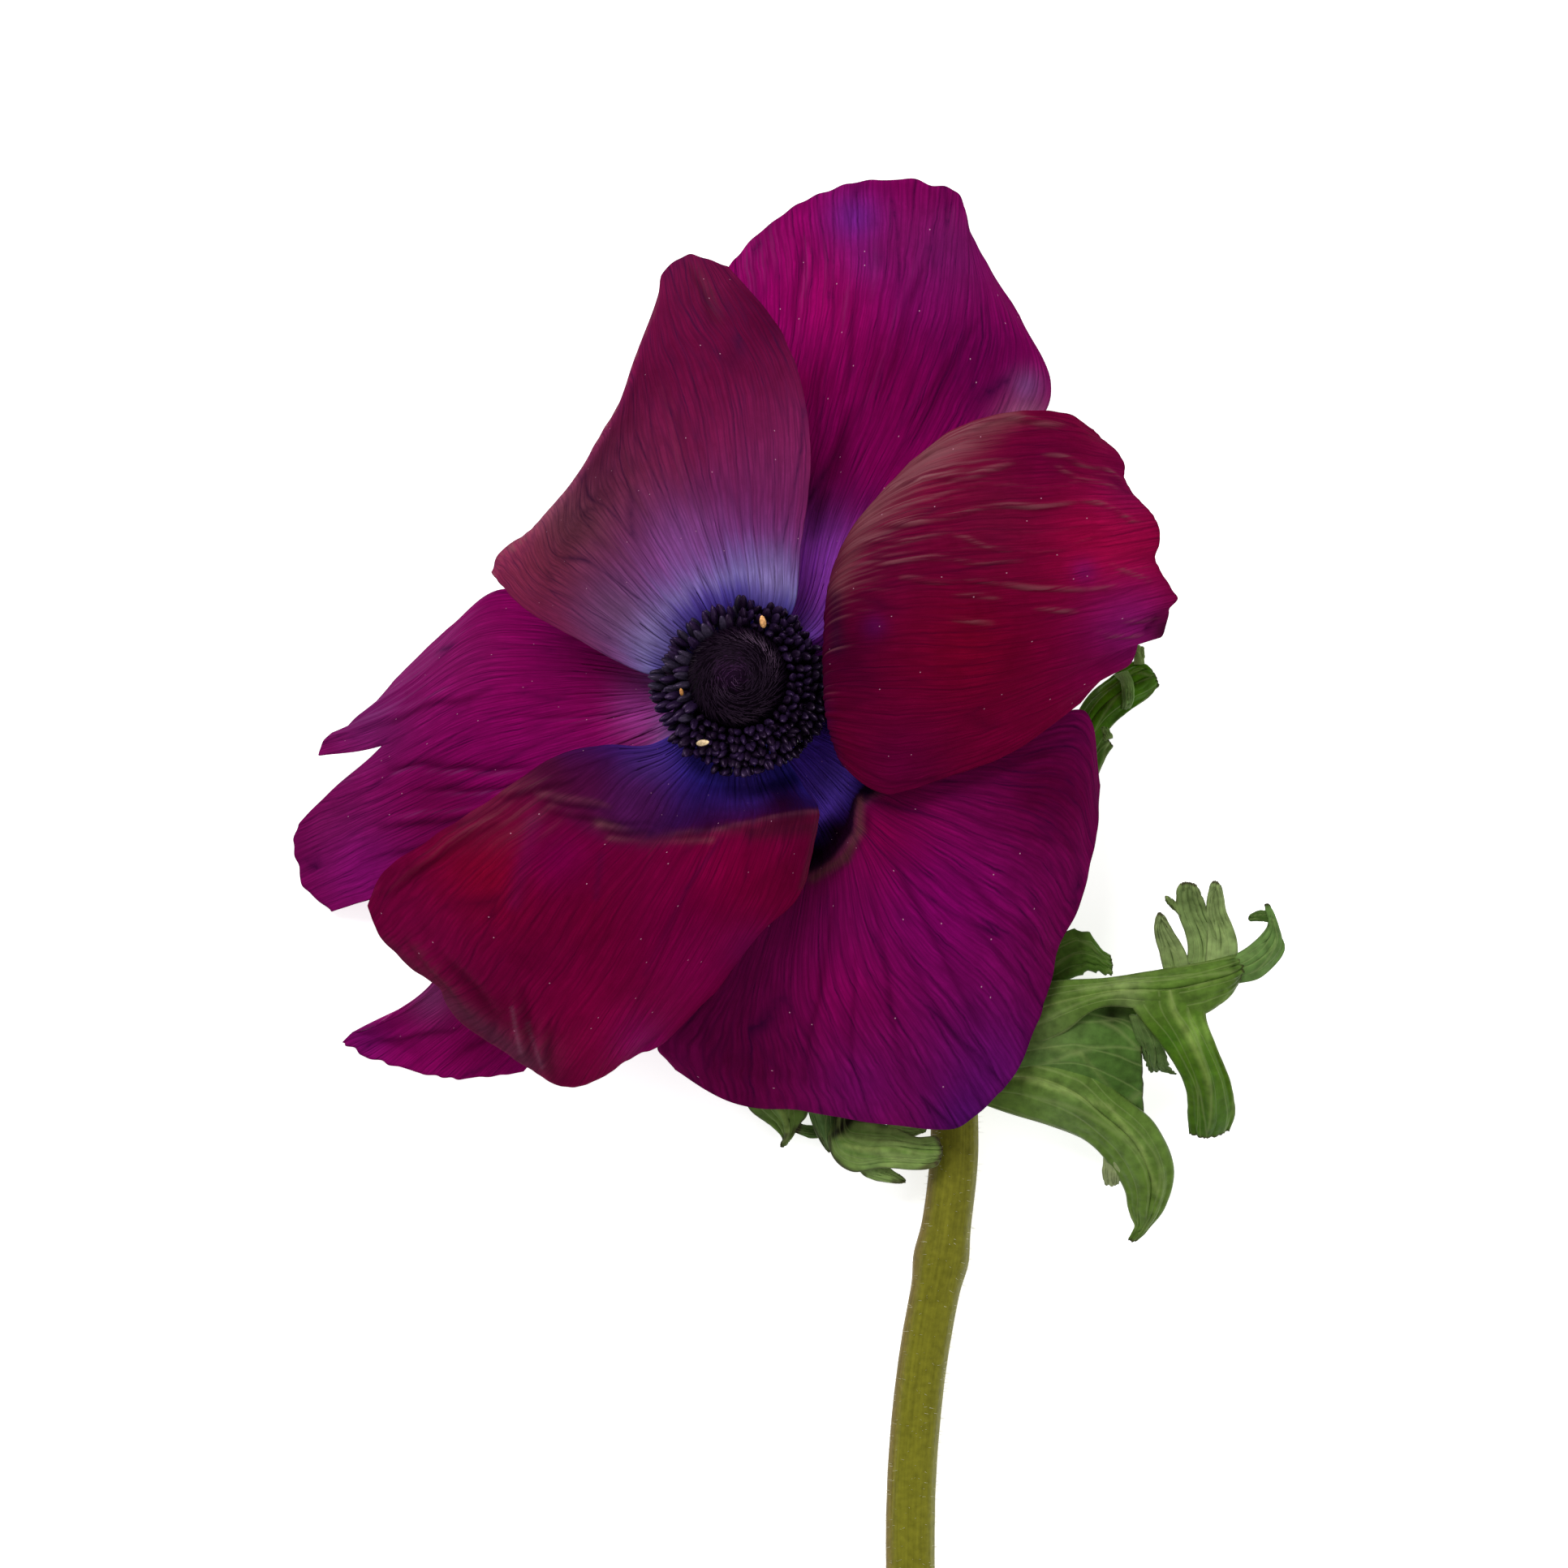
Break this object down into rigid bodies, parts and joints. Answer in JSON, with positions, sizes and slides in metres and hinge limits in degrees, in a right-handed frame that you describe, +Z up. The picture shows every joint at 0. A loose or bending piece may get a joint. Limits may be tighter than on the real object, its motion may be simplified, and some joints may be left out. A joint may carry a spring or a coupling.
{
  "type": "cut anemone flower",
  "caption": "Cut garden anemone lying on its back: broad purple-red petals in two layers round a dark domed centre, a ruff of cut leaves and a bent green stem.",
  "frame": {"origin": "middle of the whole part's box, on the surface that it lies on", "axes": "+Z up from the surface, the way the bloom faces; +Y from the stem's cut end towards the bloom; +X to the right as the bloom is looked at"},
  "size_m": [0.0984, 0.2164, 0.0376],
  "materials": {
    "stem_green": "satin",
    "leaf_green": "satin",
    "petal_crimson": "matte",
    "petal_magenta": "matte",
    "anther_black": "satin",
    "pistil_black": "matte"
  },
  "bodies": {
    "root": {"stem": "stem_green", "leaf_right": "leaf_green", "leaf_left": "leaf_green", "leaf_back": "leaf_green", "petal_inner_upper_left": "petal_crimson", "petal_inner_right": "petal_crimson", "petal_inner_lower_left": "petal_crimson", "petal_outer_top": "petal_magenta", "petal_outer_left": "petal_magenta", "petal_outer_lower_left": "petal_magenta", "petal_outer_lower_right": "petal_magenta", "stamens": "anther_black", "pistil_dome": "pistil_black"}
  },
  "joints": []
}
